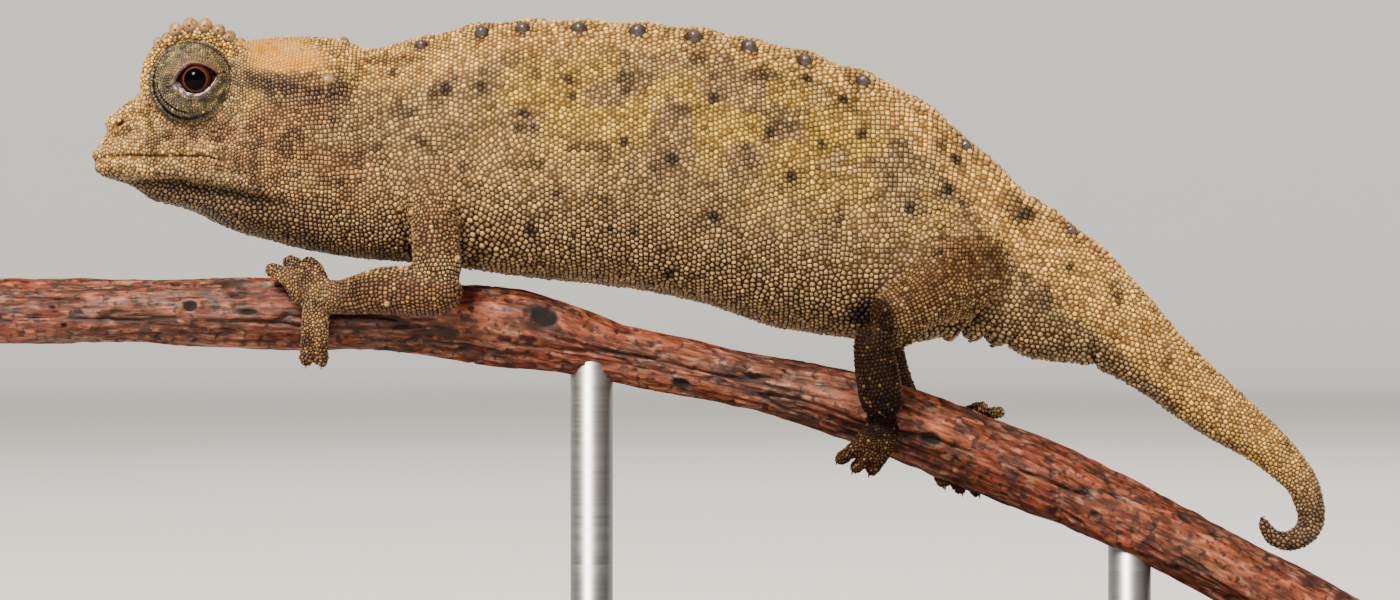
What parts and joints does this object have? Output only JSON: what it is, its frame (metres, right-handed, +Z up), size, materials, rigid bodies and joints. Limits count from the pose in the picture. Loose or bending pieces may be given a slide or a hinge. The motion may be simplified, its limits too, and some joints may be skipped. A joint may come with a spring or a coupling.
{
  "type": "pygmy leaf chameleon model",
  "caption": "Life-size still model of a pygmy leaf chameleon gripping a cut length of dead twig, held over a flat display base by upright rods.",
  "frame": {"origin": "centre of the display base's underside", "axes": "+Z up; -X the way the animal faces; its left side towards -Y"},
  "size_m": [0.0737, 0.03, 0.0383],
  "materials": {
    "granular_skin": "dry granular skin, sandy tan with darker spots",
    "eyelid_skin": "fine granular eyelid skin, olive brown",
    "eye": "wet glossy black pupil with a red-brown iris",
    "dead_wood": "weathered, barkless, red brown and pinkish grey",
    "stand_board": "satin black",
    "stand_steel": "brushed"
  },
  "bodies": {
    "root": {"head": "granular_skin", "neck": "granular_skin", "trunk": "granular_skin", "tail_base": "granular_skin", "tail_middle": "granular_skin", "tail_end": "granular_skin", "upper_arm_left": "granular_skin", "forearm_left": "granular_skin", "forefoot_left": "granular_skin", "thigh_left": "granular_skin", "shank_left": "granular_skin", "hindfoot_left": "granular_skin", "upper_arm_right": "granular_skin", "forearm_right": "granular_skin", "forefoot_right": "granular_skin", "thigh_right": "granular_skin", "shank_right": "granular_skin", "hindfoot_right": "granular_skin", "eye_turret_left": "eyelid_skin", "eye_turret_right": "eyelid_skin", "eyeball_left": "eye", "eyeball_right": "eye", "perch_twig": "dead_wood", "stand_base": "stand_board", "stand_rod_front": "stand_steel", "stand_rod_rear": "stand_steel"}
  },
  "joints": []
}
